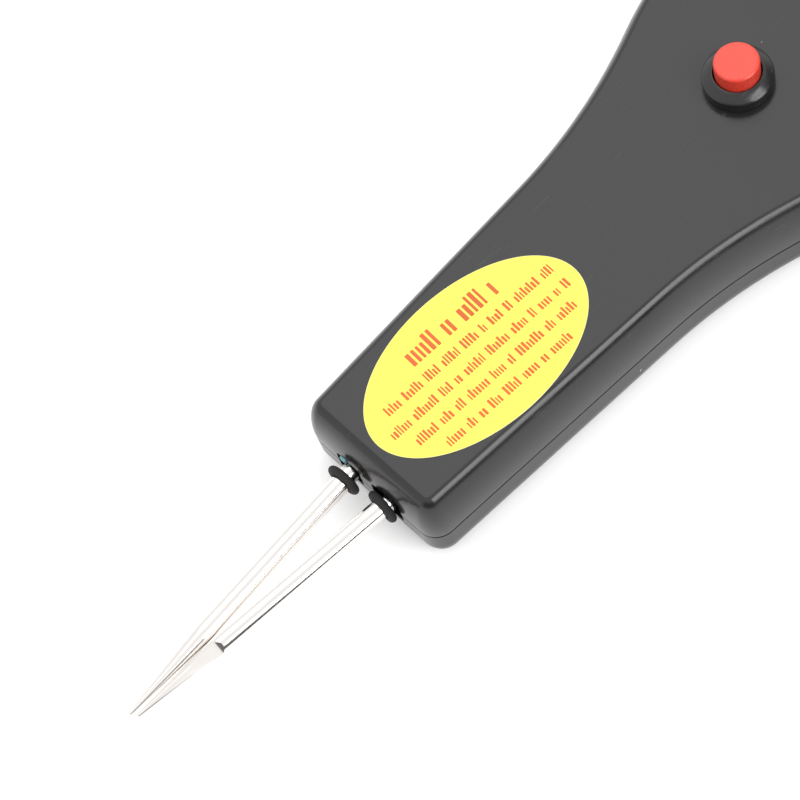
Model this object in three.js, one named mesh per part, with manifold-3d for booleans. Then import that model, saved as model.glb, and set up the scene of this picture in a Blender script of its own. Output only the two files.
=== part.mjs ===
// A battery hand tool with two steel needles that a small gear motor swings apart and together.
// Millimetres. +X runs from the needle points to the tail, +Z is up through the labelled face,
// and +Y is the side of the plain needle. While the pieces are made, x = 0 is the nose face;
// the group at the end moves them so that the origin lies under the middle of the whole tool.

import * as THREE from "three";
import { mergeVertices } from "three/addons/utils/BufferGeometryUtils.js";
import Module from "manifold-3d";

const wasm = await Module();
wasm.setup();

// ---- Driving dimensions ----

const GAP = 0.3; // between pieces that touch on the bench

const TOP_Z = 20.3; // flat labelled face
const SEAM_Z = 9.3; // parting line of the shells, and the height of the needle axes
const WALL = 2.2;
const FLOOR_Z = WALL;
const CEILING_Z = TOP_Z - WALL;
const EDGE_INSET = 3.6; // how far the rounded edges reach in, in plan
const TOP_EDGE_DROP = 10; // and how far down or up the walls
const BOTTOM_EDGE_RISE = 4.8;

const NOSE_HALF = 18; // half width at the nose
const NOSE_CORNER_R = 4.3;
const SIDE_TAPER = 0.043; // half width gained per millimetre along the neck
const FLARE_X = 60.3; // the flare starts here
const FLARE_R = 111; // radius of the flare's curve
const SHOULDER_X = 99; // the flare turns over into the shoulder here
const SHOULDER_R = 100;
const TAIL_X = 184;
const TAIL_CORNER_R = 18;

const NEEDLE_R = 2;
const NEEDLE_TIP_R = 0.42;
const NEEDLE_TAPER = 19.9;
const TIP_REACH = 61.2; // how far the longer needle stands out of the nose
const PIVOT_X = 24;
const PIVOT_Y = 6.5;
const PIN_R = 1.5;
const RUNNING_GAP = 0.08;
const LEFT_TOE = THREE.MathUtils.degToRad(3.65);
const RIGHT_TOE = THREE.MathUtils.degToRad(4.2);

const SECTOR_TEETH = 16; // full-circle count of the gears that join the two arms
const DRIVE_TEETH = 30; // full-circle count of the driven sector on the left arm
const PINION_TEETH = 10;
const TOOTH_MODULE = (2 * PIVOT_Y) / SECTOR_TEETH;
const GEAR_Z = 4;
const GEAR_HEIGHT = 3.2;

const SWITCH_X = 104.2;
const SWITCH_Y = 2;
const SWITCH_TRAVEL_ROOM = 3;
const CAP_R = 4.47;
const CAP_RISE = 7.2; // cap top above the labelled face

const LABEL = { x: 29.8, y: -0.9, length: 50, width: 30, turn: -0.05, thickness: 0.15 };

const CELL = { radius: 7.25, length: 49.5, nubRadius: 2.6, nub: 1, pitch: 14.8, z: 9.8 };
const BAY_X0 = 116.4; // inside of the cell bay, between its contact plates
const BAY_X1 = 172.2;
const COVER_HALF = 29.8;
const COVER_THICK = 2;
const BAY_WALL = { ahead: 2.2, behind: 0.7, thick: 1.5, top: 15 }; // walls beyond the contact plates

const SCREWS = [
  [10, 13.6],
  [68, 16],
  [106, 25],
];

// ---- Shapes and solids ----

// A closed three.js geometry as a solid that can be joined and cut.
function solid(geometry) {
  geometry.deleteAttribute("normal");
  geometry.deleteAttribute("uv");
  const merged = mergeVertices(geometry, 1e-4);
  const mesh = new wasm.Mesh({
    numProp: 3,
    vertProperties: merged.attributes.position.array,
    triVerts: new Uint32Array(merged.index.array),
  });
  return new wasm.Manifold(mesh);
}

// A solid's surface as a three.js geometry again.
function geometryOf(body) {
  const { vertProperties, triVerts } = body.getMesh();
  const geometry = new THREE.BufferGeometry();
  geometry.setAttribute("position", new THREE.BufferAttribute(vertProperties, 3));
  geometry.setIndex(new THREE.BufferAttribute(triVerts, 1));
  return geometry;
}

function joined(...bodies) {
  return bodies.reduce((all, body) => all.add(body));
}

function cut(body, ...tools) {
  return tools.reduce((left, tool) => left.subtract(tool), body);
}

// A box between two opposite corners.
function block([x0, y0, z0], [x1, y1, z1]) {
  const box = new THREE.BoxGeometry(x1 - x0, y1 - y0, z1 - z0);
  return solid(box.translate((x0 + x1) / 2, (y0 + y1) / 2, (z0 + z1) / 2));
}

// An upright round post.
function post(x, y, radius, z0, z1, sides = 16) {
  const cylinder = new THREE.CylinderGeometry(radius, radius, z1 - z0, sides);
  return solid(cylinder.rotateX(Math.PI / 2).translate(x, y, (z0 + z1) / 2));
}

// A round bar along X.
function bar(x0, x1, y, z, radius, sides = 24) {
  const cylinder = new THREE.CylinderGeometry(radius, radius, x1 - x0, sides);
  return solid(cylinder.rotateZ(Math.PI / 2).translate((x0 + x1) / 2, y, z));
}

// A flat shape raised from z0 to z1.
function prism(shape, z0, z1, curveSegments = 8) {
  const options = { depth: z1 - z0, bevelEnabled: false, curveSegments };
  return solid(new THREE.ExtrudeGeometry(shape, options).translate(0, 0, z0));
}

// A flat shape swollen sideways all round, with its upper and lower edges rounded over.
function pillow(shape, z0, z1, swell, rounding) {
  const options = {
    depth: z1 - z0 - 2 * rounding,
    bevelThickness: rounding,
    bevelSize: swell,
    bevelSegments: 4,
  };
  return solid(new THREE.ExtrudeGeometry(shape, options).translate(0, 0, z0 + rounding));
}

// A profile of [radius, z] points spun about the vertical line through x, y.
function spun(profile, x, y, sides = 28) {
  const points = profile.map(([radius, z]) => new THREE.Vector2(radius, z));
  const lathe = new THREE.LatheGeometry(points, sides);
  return solid(lathe.rotateX(Math.PI / 2).translate(x, y, 0));
}

// Points on an arc, from one angle to another.
function arcPoints(x, y, radius, from, to, steps) {
  return Array.from({ length: steps + 1 }, (_, step) => {
    const angle = from + ((to - from) * step) / steps;
    return new THREE.Vector2(x + radius * Math.cos(angle), y + radius * Math.sin(angle));
  });
}

// A coil of wire about a vertical or level line, from a start point along a direction.
class Coil extends THREE.Curve {
  constructor(start, axis, length, radiusStart, radiusEnd, turns) {
    super();
    Object.assign(this, { start, axis, length, radiusStart, radiusEnd, turns });
    this.side = new THREE.Vector3(0, 1, 0);
    this.other = new THREE.Vector3().crossVectors(axis, this.side);
  }

  getPoint(t, target = new THREE.Vector3()) {
    const angle = t * this.turns * 2 * Math.PI;
    const radius = this.radiusStart + (this.radiusEnd - this.radiusStart) * t;
    return target
      .copy(this.start)
      .addScaledVector(this.axis, this.length * t)
      .addScaledVector(this.side, radius * Math.cos(angle))
      .addScaledVector(this.other, radius * Math.sin(angle));
  }
}

function wire(curve, radius, steps) {
  const section = new THREE.Shape(arcPoints(0, 0, radius, 0, 2 * Math.PI, 6).slice(0, -1));
  return solid(new THREE.ExtrudeGeometry(section, { steps, extrudePath: curve }));
}

// ---- Body plan ----

// Half width of the body along the neck and the flare.
function halfWidth(x) {
  const into = Math.max(0, x - FLARE_X);
  return NOSE_HALF + SIDE_TAPER * x + into ** 2 / (2 * FLARE_R);
}

// The body's plan outline, moved in by an inset all round.
function bodyPlan(inset) {
  const slope = Math.atan(SIDE_TAPER + (SHOULDER_X - FLARE_X) / FLARE_R);
  const shoulderX = SHOULDER_X + SHOULDER_R * Math.sin(slope);
  const shoulderY = halfWidth(SHOULDER_X) - SHOULDER_R * Math.cos(slope);
  const tailX = TAIL_X - TAIL_CORNER_R;
  const tailY = shoulderY + SHOULDER_R - TAIL_CORNER_R;
  const noseY = NOSE_HALF - NOSE_CORNER_R;
  const turn = Math.PI / 2;

  const flare = [];
  const steps = 6;
  for (let step = 0; step < steps; step += 1) {
    const x = FLARE_X + ((SHOULDER_X - FLARE_X) * step) / steps;
    const lean = Math.atan(SIDE_TAPER + (x - FLARE_X) / FLARE_R);
    flare.push(new THREE.Vector2(x + inset * Math.sin(lean), halfWidth(x) - inset * Math.cos(lean)));
  }
  const left = [
    ...arcPoints(NOSE_CORNER_R, noseY, NOSE_CORNER_R - inset, Math.PI, turn, 4),
    ...flare,
    ...arcPoints(shoulderX, shoulderY, SHOULDER_R - inset, turn + slope, turn, 3),
    ...arcPoints(tailX, tailY, TAIL_CORNER_R - inset, turn, 0, 5),
  ];
  const right = left.map((point) => new THREE.Vector2(point.x, -point.y)).reverse();
  return new THREE.Shape([...right, ...left].reverse());
}

// One half of the housing: the outer form less its hollow, on one side of the parting line.
function shellHalf(z0, z1, rounding, keepFrom, keepTo) {
  const plan = bodyPlan(EDGE_INSET);
  const outer = pillow(plan, z0, z1, EDGE_INSET, rounding);
  const inner = pillow(plan, z0 + WALL, z1 - WALL, EDGE_INSET - WALL, rounding - WALL);
  return cut(outer, inner).intersect(block([-1, -60, keepFrom], [TAIL_X + 1, 60, keepTo]));
}

// The two openings in the nose wall that the needles swing in: low and high y.
const NOSE_SLOTS = [
  [2.4, 8.6],
  [-8.6, -0.9],
];
const SLOT_HALF_HEIGHT = 3.4;

function noseSlots() {
  return NOSE_SLOTS.map(([low, high]) =>
    block([-1, low, SEAM_Z - SLOT_HALF_HEIGHT], [2 * WALL, high, SEAM_Z + SLOT_HALF_HEIGHT]),
  );
}

const BOSS_R = 3.1;
const SCREW = { shank: 1.25, hole: 1.4, head: 2.5, recess: 2.9, headZ: 0.4, headHeight: 1.8 };
const screwPlaces = SCREWS.flatMap(([x, y]) => [[x, y], [x, -y]]);
const pivots = [PIVOT_Y, -PIVOT_Y].map((y) => [PIVOT_X, y]);

function upperShell() {
  const bottom = SEAM_Z + GAP / 2;
  let body = shellHalf(-TOP_Z, TOP_Z, TOP_EDGE_DROP, bottom, TOP_Z + 1);
  for (const [x, y] of screwPlaces) {
    body = joined(body, post(x, y, BOSS_R, bottom, CEILING_Z + 0.1));
    body = cut(body, post(x, y, SCREW.hole, bottom - 1, CEILING_Z - 1));
  }
  for (const [x, y] of pivots) {
    body = joined(body, post(x, y, BOSS_R, ARM_TOP_Z + GAP, CEILING_Z + 0.1));
    body = cut(body, post(x, y, PIN_R + RUNNING_GAP, ARM_TOP_Z, PIN_TOP_Z + GAP));
  }
  const switchHole = post(SWITCH_X, SWITCH_Y, SWITCH_BARREL_R + GAP, CEILING_Z - 1, TOP_Z + 1, 24);
  return cut(body, switchHole, ...noseSlots());
}

// Two feet on the floor of the lower shell that carry the gearbox.
function gearboxFeet() {
  const foot = { y: 6, half: 1, ahead: 5, length: 4 };
  const x = GEARBOX.x1 - foot.ahead;
  return [-foot.y, foot.y].map((y) =>
    block([x, y - foot.half, 1], [x + foot.length, y + foot.half, GEARBOX.z0 - GAP]),
  );
}

// The rib that the motor can lies on.
function motorRib() {
  const rib = { x: 56, thick: 2, half: 5 };
  return block([rib.x, -rib.half, 1], [rib.x + rib.thick, rib.half, MOTOR.z - MOTOR.flat - GAP]);
}

// The places of the circuit board's four mounting holes.
function boardHoles() {
  const xs = [BOARD.x0 + BOARD.holeInset, BOARD.x1 - BOARD.holeInset];
  const y = BOARD.half - BOARD.holeInset;
  return xs.flatMap((x) => [[x, -y], [x, y]]);
}

function boardPosts() {
  return boardHoles().map(([x, y]) => post(x, y, BOARD.postR, 1, BOARD.z - GAP));
}

// The two walls that hold the contact plates of the cell bay.
function bayWalls() {
  return [BAY_X0 - BAY_WALL.ahead, BAY_X1 + BAY_WALL.behind].map((x) =>
    block([x, -COVER_HALF, 1], [x + BAY_WALL.thick, COVER_HALF, BAY_WALL.top]),
  );
}

function lowerShell() {
  const top = SEAM_Z - GAP / 2;
  const lip = { height: 1.6, thickness: 1, inset: WALL + 0.2 };
  let body = shellHalf(0, 3 * TOP_Z, BOTTOM_EDGE_RISE, -1, top);

  const shelf = prism(bodyPlan(WALL - GAP), top - 2.5, top - 0.5);
  let rim = joined(shelf, prism(bodyPlan(lip.inset), top - 1, top + lip.height));
  rim = cut(rim, prism(bodyPlan(lip.inset + lip.thickness), top - 3, top + lip.height + 1));
  const bossRooms = screwPlaces.map(([x, y]) => post(x, y, BOSS_R + GAP, top, TOP_Z));
  body = joined(body, cut(rim, ...bossRooms));

  for (const [x, y] of screwPlaces) {
    body = joined(body, post(x, y, BOSS_R, 1, top));
    body = cut(body, post(x, y, SCREW.hole, -1, TOP_Z), post(x, y, SCREW.recess, -1, 2.5));
  }
  body = joined(body, ...gearboxFeet(), motorRib(), ...boardPosts(), ...bayWalls());

  for (const [x, y] of [...pivots, [PINION_X, 0]]) {
    body = joined(body, post(x, y, BOSS_R, 1, GEAR_Z - GAP));
    body = cut(body, post(x, y, PIN_R + RUNNING_GAP, FLOOR_Z, GEAR_Z));
  }
  const hinge = hingeBar(COVER_PIN.radius + 0.1, COVER_PIN.half + GAP);
  return cut(body, coverOpening(), hinge, ...noseSlots());
}

// ---- Battery cover ----

const GRIP = { count: 4, ahead: 4, pitch: 2, width: 1, half: 8, depth: 0.6 };
const COVER_PIN = { radius: 0.5, half: 33, x: BAY_X1 - 0.2, z: COVER_THICK / 2 };

// A level round bar on the cover's hinge line.
function hingeBar(radius, half) {
  const cylinder = new THREE.CylinderGeometry(radius, radius, 2 * half, 16);
  return solid(cylinder.translate(COVER_PIN.x, 0, COVER_PIN.z));
}

function coverOpening() {
  const end = COVER_PIN.x + COVER_THICK / 2 + GAP;
  return block([BAY_X0 - GAP, -COVER_HALF - GAP, -1], [end, COVER_HALF + GAP, FLOOR_Z + 0.5]);
}

function batteryCover() {
  const plate = block([BAY_X0, -COVER_HALF, 0], [COVER_PIN.x, COVER_HALF, COVER_THICK]);
  const roundEdge = hingeBar(COVER_THICK / 2, COVER_HALF);
  const grips = Array.from({ length: GRIP.count }, (_, row) => {
    const x = BAY_X0 + GRIP.ahead + row * GRIP.pitch;
    return block([x, -GRIP.half, -1], [x + GRIP.width, GRIP.half, GRIP.depth]);
  });
  return cut(joined(plate, roundEdge), hingeBar(COVER_PIN.radius + 0.1, COVER_HALF + 1), ...grips);
}

// ---- Needles and their arms ----

const ARM_TOP_Z = 13.1;
const PIN_TOP_Z = 17.4;
const SOCKET = { front: 20, back: 5.5, radius: 3.75, bore: NEEDLE_R + 0.1 };
const NEEDLE_BACK = SOCKET.back + 0.6; // how far ahead of the pivot the needle's butt ends
const HUB_R = 5.2;

// A length along a needle, as a bar ahead of its pivot in the arm's own frame.
function aheadBar(from, to, radius, sides) {
  return bar(-to, -from, 0, SEAM_Z, radius, sides);
}

// Half the width of a straight-sided gear tooth at some radius.
function toothHalf(pitchRadius, radius) {
  const backlash = 0.15;
  const pressure = Math.tan(THREE.MathUtils.degToRad(20));
  return (Math.PI * TOOTH_MODULE) / 4 - backlash - (radius - pitchRadius) * pressure;
}

// Corner points of a run of gear teeth about the origin, the first tooth on angle `start`.
function toothRun(fullCount, start, count) {
  const pitchRadius = (TOOTH_MODULE * fullCount) / 2;
  const outer = pitchRadius + 0.8 * TOOTH_MODULE;
  const root = pitchRadius - 1.1 * TOOTH_MODULE;
  const corners = [];
  for (let tooth = 0; tooth < count; tooth += 1) {
    const middle = start + (tooth * 2 * Math.PI) / fullCount;
    for (const [radius, side] of [[root, -1], [outer, -1], [outer, 1], [root, 1]]) {
      const angle = middle + (side * toothHalf(pitchRadius, radius)) / radius;
      corners.push(new THREE.Vector2(radius * Math.cos(angle), radius * Math.sin(angle)));
    }
  }
  return corners;
}

// A wedge of gear centred on one angle, with a tooth or a gap on its middle line.
function gearSector(fullCount, middle, count) {
  const pitch = (2 * Math.PI) / fullCount;
  const teeth = toothRun(fullCount, middle - ((count - 1) / 2) * pitch, count);
  const shape = new THREE.Shape([new THREE.Vector2(0, 0), ...teeth]);
  return prism(shape, GEAR_Z, GEAR_Z + GEAR_HEIGHT);
}

const DRIVE_R = (TOOTH_MODULE * DRIVE_TEETH) / 2;
const PINION_R = (TOOTH_MODULE * PINION_TEETH) / 2;
const PINION_X = PIVOT_X + Math.sqrt((DRIVE_R + PINION_R) ** 2 - PIVOT_Y ** 2);
const DRIVE_ANGLE = -Math.atan2(PIVOT_Y, PINION_X - PIVOT_X);

// An arm about its own pivot, as the left one: the needle points along -X, turned by its toe.
function needleArm(toe, sectors) {
  const toDegrees = THREE.MathUtils.radToDeg(toe);
  const socket = aheadBar(1, SOCKET.front, SOCKET.radius).rotate([0, 0, toDegrees]);
  const bore = aheadBar(SOCKET.back, SOCKET.front + 1, SOCKET.bore).rotate([0, 0, toDegrees]);
  const screwWell = post(-CLAMP.ahead, 0, CLAMP.radius + 0.1, SEAM_Z, SEAM_Z + 10, 16);
  const hub = post(0, 0, HUB_R, GEAR_Z, ARM_TOP_Z, 32);
  const axleHole = post(0, 0, PIN_R + RUNNING_GAP, 0, TOP_Z, 32);
  const body = joined(hub, socket, ...sectors);
  return cut(body, bore, screwWell.rotate([0, 0, toDegrees]), axleHole);
}

const CLAMP = { ahead: 13, radius: 1, socketR: 0.5 };

// A grub screw that clamps a needle in its arm, in the arm's own frame before its toe.
function clampScrew() {
  const bottom = SEAM_Z + NEEDLE_R + 0.1;
  const body = post(-CLAMP.ahead, 0, CLAMP.radius, bottom, bottom + 2.2, 16);
  return cut(body, post(-CLAMP.ahead, 0, CLAMP.socketR, bottom + 1.2, bottom + 3, 6));
}

// A needle along -X from the pivot, with its point at `reach`.
function needle(reach) {
  const profile = [
    [0, reach],
    [NEEDLE_TIP_R * 0.7, reach],
    [NEEDLE_TIP_R, reach - 0.25],
    [NEEDLE_R, reach - NEEDLE_TAPER],
    [NEEDLE_R, NEEDLE_BACK + GAP],
    [NEEDLE_R - GAP, NEEDLE_BACK],
    [0, NEEDLE_BACK],
  ].reverse();
  const points = profile.map(([radius, ahead]) => new THREE.Vector2(radius, ahead));
  const lathe = new THREE.LatheGeometry(points, 24);
  return solid(lathe.rotateZ(Math.PI / 2).translate(0, 0, SEAM_Z));
}

const FLAT = { step: 19.2, fade: 10, height: 1.36, fadeHeight: 1.2, lean: 1.6, turn: -30 };

// The ground flat near the hooked needle's point, with the step that ends it.
function groundFlat(reach) {
  const clear = 3;
  const stepX = -(reach - FLAT.step);
  const side = new THREE.Shape([
    new THREE.Vector2(stepX, FLAT.height),
    new THREE.Vector2(stepX + (clear - FLAT.height) * FLAT.lean, clear),
    new THREE.Vector2(-(reach - FLAT.fade), clear),
    new THREE.Vector2(-(reach - FLAT.fade), FLAT.fadeHeight),
  ]);
  const wide = new THREE.ExtrudeGeometry(side, { depth: 2 * clear, bevelEnabled: false });
  wide.translate(0, 0, -clear).rotateX(Math.PI / 2);
  wide.rotateX(THREE.MathUtils.degToRad(FLAT.turn));
  return solid(wide.translate(0, 0, SEAM_Z));
}

const RING = { section: 0.8, gap: 0.08 };

function oRing(ahead) {
  const torus = new THREE.TorusGeometry(NEEDLE_R + RING.gap + RING.section, RING.section, 8, 24);
  return solid(torus.rotateY(Math.PI / 2).translate(-ahead, 0, SEAM_Z));
}

function pivotPin(x, y) {
  return post(x, y, PIN_R, FLOOR_Z + GAP, PIN_TOP_Z, 32);
}

// ---- Gear motor ----

const GEARBOX = { x0: 31, x1: 49, half: 9, z0: 7.6, z1: 17.6 };
const MOTOR = { z: 12.7, radius: 6, flat: 5, length: 15 };
const SHAFT_FLAT = 1;

function drivePinion() {
  const toMesh = DRIVE_ANGLE + Math.PI;
  const outline = toothRun(PINION_TEETH, toMesh, PINION_TEETH);
  const gear = prism(new THREE.Shape(outline), GEAR_Z, GEAR_Z + GEAR_HEIGHT).translate([PINION_X, 0, 0]);
  const hole = post(PINION_X, 0, PIN_R + 0.1, 0, TOP_Z);
  const key = block([PINION_X + SHAFT_FLAT + 0.1, -3, 0], [PINION_X + 3, 3, TOP_Z]);
  return cut(gear, cut(hole, key));
}

function pinionShaft() {
  const round = post(PINION_X, 0, PIN_R, FLOOR_Z + GAP, GEARBOX.z0 + 3, 32);
  const flat = block([PINION_X + SHAFT_FLAT, -3, 0], [PINION_X + 3, 3, GEARBOX.z0 + 1]);
  return cut(round, flat);
}

function gearboxHousing() {
  const { x0, x1, half, z0, z1 } = GEARBOX;
  const body = block([x0, -half, z0], [x1, half, z1]);
  const shaftHole = post(PINION_X, 0, PIN_R + 0.1, z0 - 1, z0 + 3.3, 32);
  const corners = [-1, 1].map((side) =>
    block([x1 - 4, side * (half - 1) - 1.1, z0 - 1], [x1 + 1, side * (half - 1) + 1.1, z1 + 1]),
  );
  return cut(body, shaftHole, ...corners);
}

// A can shape: round, with two level flats, seen along the motor's axis.
function motorSection(radius, flat) {
  const reach = Math.acos(flat / radius);
  const turn = Math.PI / 2;
  return new THREE.Shape([
    ...arcPoints(0, 0, radius, -turn + reach, turn - reach, 8),
    ...arcPoints(0, 0, radius, turn + reach, 3 * turn - reach, 8),
  ]);
}

function motorLength(x0, length, radius, flat) {
  const section = motorSection(radius, flat);
  const can = new THREE.ExtrudeGeometry(section, { depth: length, bevelEnabled: false });
  return solid(can.rotateY(Math.PI / 2).rotateX(Math.PI / 2).translate(x0, 0, MOTOR.z));
}

const CAN_X = GEARBOX.x1 + GAP;
const END_CAP_X = CAN_X + MOTOR.length + GAP;
const END_CAP_THICK = 1.6;

function motorEndCap() {
  const inset = 0.4;
  const plate = motorLength(END_CAP_X, END_CAP_THICK, MOTOR.radius - inset, MOTOR.flat - inset);
  const bearing = { radius: 1.8, rise: 1 };
  const end = END_CAP_X + END_CAP_THICK + bearing.rise;
  return joined(plate, bar(END_CAP_X + 1, end, 0, MOTOR.z, bearing.radius));
}

function motorTerminal(side) {
  const tab = { y: 3.6, length: 2.6, half: 0.9, thick: 0.4 };
  const x = END_CAP_X + END_CAP_THICK + GAP;
  const low = [x, side * tab.y - tab.half, MOTOR.z - tab.thick / 2];
  return block(low, [x + tab.length, side * tab.y + tab.half, MOTOR.z + tab.thick / 2]);
}

// ---- Circuit board ----

const BOARD = { x0: 72, x1: 92, half: 12, z: 6, thick: 1.6, holeInset: 2, holeR: 0.8, postR: 1.6 };
const ON_BOARD_Z = BOARD.z + BOARD.thick + GAP;

function circuitBoard() {
  const plate = block([BOARD.x0, -BOARD.half, BOARD.z], [BOARD.x1, BOARD.half, BOARD.z + BOARD.thick]);
  return cut(plate, ...boardHoles().map(([x, y]) => post(x, y, BOARD.holeR, 0, TOP_Z, 12)));
}

function driverChip() {
  const chip = { x: 77, length: 5, half: 3, height: 1.5 };
  return block([chip.x, -chip.half, ON_BOARD_Z], [chip.x + chip.length, chip.half, ON_BOARD_Z + chip.height]);
}

function capacitor() {
  const can = { x: 86.5, y: 5, radius: 3, height: 7 };
  return post(can.x, can.y, can.radius, ON_BOARD_Z, ON_BOARD_Z + can.height);
}

// ---- Push switch ----

const SWITCH_BARREL_R = 5.9;
const BEZEL_R = 7;
const CREASE_R = 5.6; // where the bezel's cone turns flatter towards the cap
const SWITCH_BASE_Z = 9.4;
const SWITCH_FLOOR_Z = 11.4;
const BEZEL_Z = TOP_Z + 0.1;

function switchHousing() {
  const profile = [
    [0, SWITCH_BASE_Z],
    [SWITCH_BARREL_R, SWITCH_BASE_Z],
    [SWITCH_BARREL_R, BEZEL_Z],
    [BEZEL_R, BEZEL_Z],
    [BEZEL_R, BEZEL_Z + 2.2],
    [BEZEL_R - 0.35, BEZEL_Z + 2.55],
    [CREASE_R, BEZEL_Z + 3.3],
    [CAP_R + GAP, BEZEL_Z + 3.65],
    [CAP_R + GAP, SWITCH_FLOOR_Z],
    [0, SWITCH_FLOOR_Z],
  ];
  return spun(profile, SWITCH_X, SWITCH_Y);
}

function switchNut() {
  const nut = post(SWITCH_X, SWITCH_Y, 8.4, CEILING_Z - 2.5, CEILING_Z - 0.2, 6);
  return cut(nut, post(SWITCH_X, SWITCH_Y, SWITCH_BARREL_R + 0.25, 0, TOP_Z, 24));
}

function switchCap() {
  const skirt = SWITCH_FLOOR_Z + SWITCH_TRAVEL_ROOM;
  const top = TOP_Z + CAP_RISE;
  const profile = [
    [0, skirt + 2],
    [3.3, skirt + 2],
    [3.3, skirt],
    [CAP_R, skirt],
    [CAP_R, top - 0.5],
    [CAP_R - 0.15, top - 0.15],
    [CAP_R - 0.5, top],
    [0, top],
  ];
  return spun(profile, SWITCH_X, SWITCH_Y, 32);
}

function switchSpring() {
  const start = new THREE.Vector3(SWITCH_X, SWITCH_Y, SWITCH_FLOOR_Z + 0.5);
  const coil = new Coil(start, new THREE.Vector3(0, 0, 1), 4, 2.4, 2.4, 4);
  return wire(coil, 0.3, 40);
}

function switchTerminal(side) {
  const tab = { y: 2.6, length: 2, thick: 0.6, foot: 6.2 };
  const y = SWITCH_Y + side * tab.y;
  const low = [SWITCH_X - tab.length / 2, y - tab.thick / 2, tab.foot];
  return block(low, [SWITCH_X + tab.length / 2, y + tab.thick / 2, SWITCH_BASE_Z - GAP]);
}

// ---- Cells and contacts ----

const CELL_ROWS = [-1.5, -0.5, 0.5, 1.5];
const SPRING_LENGTH = 4.2;

// A cell along X. `facing` is +1 where its nub points to the tail.
function cell(row, facing) {
  const y = row * CELL.pitch;
  const total = CELL.length + CELL.nub;
  const nubX = facing > 0 ? BAY_X1 - GAP : BAY_X0 + GAP;
  const farX = nubX - facing * total;
  const shoulder = nubX - facing * CELL.nub;
  const can = bar(Math.min(farX, shoulder), Math.max(farX, shoulder), y, CELL.z, CELL.radius, 28);
  const nub = bar(Math.min(nubX, farX), Math.max(nubX, farX), y, CELL.z, CELL.nubRadius, 16);
  return joined(can, nub);
}

// The coned spring that presses on a cell's flat end.
function contactSpring(row, facing) {
  const start = new THREE.Vector3(facing > 0 ? BAY_X0 + 0.6 : BAY_X1 - 0.6, row * CELL.pitch, CELL.z);
  const axis = new THREE.Vector3(facing, 0, 0);
  return wire(new Coil(start, axis, SPRING_LENGTH - 1.2, 4.6, 2.4, 3), 0.3, 27);
}

function contactPlate(x, y0, y1) {
  return block([x, y0, CELL.z - 5.5], [x + 0.4, y1, CELL.z + 5.5]);
}

// ---- Label, screws and slot pad ----

function label() {
  const oval = new THREE.Shape();
  oval.absellipse(LABEL.x, LABEL.y, LABEL.length / 2, LABEL.width / 2, 0, 2 * Math.PI, false, LABEL.turn);
  const z = TOP_Z + 0.03;
  return prism(new THREE.Shape(oval.getPoints(44).slice(0, -1)), z, z + LABEL.thickness);
}

function shellScrew(x, y) {
  const headTop = SCREW.headZ + SCREW.headHeight;
  const shank = post(x, y, SCREW.shank, headTop - 0.5, CEILING_Z - 3, 12);
  const head = post(x, y, SCREW.head, SCREW.headZ, headTop);
  const { half, arm, depth } = { half: 1.5, arm: 0.35, depth: 0.9 };
  const cross = [[half, arm], [arm, half]].map(([along, across]) =>
    block([x - along, y - across, 0], [x + along, y + across, SCREW.headZ + depth]),
  );
  return cut(joined(shank, head), ...cross);
}

// A soft pad under the top of the left slot, which damps the rattle of the plain needle.
function slotPad() {
  const pad = { front: -0.3, low: 5.9, high: 7.3, height: 1.2 };
  const top = SEAM_Z + SLOT_HALF_HEIGHT - 0.05;
  return block([pad.front, pad.low, top - pad.height], [WALL - 0.2, pad.high, top]);
}

// ---- Finishes ----

const finish = (color, roughness, metalness = 0) =>
  new THREE.MeshStandardMaterial({ color, roughness, metalness });

const BLACK_PLASTIC = finish(0x2a2a2c, 0.45);
const BEZEL_PLASTIC = finish(0x1c1c1e, 0.5);
const RED_PLASTIC = finish(0xe0301f, 0.35);
const YELLOW_VINYL = finish(0xfff25a, 0.5);
const STEEL = finish(0xd9d4cf, 0.22, 1);
const DARK_STEEL = finish(0x6a6a6c, 0.4, 1);
const RUBBER = finish(0x121213, 0.6);
const SILICONE = finish(0x7fb3b8, 0.55);
const ARM_ALLOY = finish(0x9a9ca0, 0.4, 1);
const GEAR_NYLON = finish(0xe8e4d8, 0.5);
const BRASS = finish(0xc9a550, 0.35, 1);
const NICKEL = finish(0xb9b9b4, 0.3, 1);
const BOARD_GREEN = finish(0x1f6b3a, 0.5);
const CHIP_BLACK = finish(0x151517, 0.55);
const CELL_WRAP = finish(0x39648c, 0.35);
const FOIL_SLEEVE = finish(0x2b3550, 0.35);

// ---- Assembly ----

const tool = new THREE.Group();

function add(group, name, body, material) {
  const mesh = new THREE.Mesh(geometryOf(body), material);
  mesh.name = name;
  group.add(mesh);
  return mesh;
}

add(tool, "upper_shell", upperShell(), BLACK_PLASTIC);
add(tool, "lower_shell", lowerShell(), BLACK_PLASTIC);
add(tool, "battery_cover", batteryCover(), BLACK_PLASTIC);
add(tool, "cover_pin", hingeBar(COVER_PIN.radius, COVER_PIN.half), STEEL);
screwPlaces.forEach(([x, y], index) => {
  add(tool, `shell_screw_${index + 1}`, shellScrew(x, y), DARK_STEEL);
});
add(tool, "label", label(), YELLOW_VINYL);
add(tool, "slot_pad", slotPad(), SILICONE);

const ARMS = [
  {
    side: "left",
    flip: 1,
    toe: LEFT_TOE,
    tipX: -TIP_REACH,
    ringX: -2.4,
    sectors: [
      gearSector(SECTOR_TEETH, -Math.PI / 2, 5),
      gearSector(DRIVE_TEETH, DRIVE_ANGLE, 4),
    ],
  },
  {
    side: "right",
    flip: -1,
    toe: RIGHT_TOE,
    tipX: -TIP_REACH + 0.8,
    ringX: -1.2,
    sectors: [gearSector(SECTOR_TEETH, -Math.PI / 2, 4)],
  },
];

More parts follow.
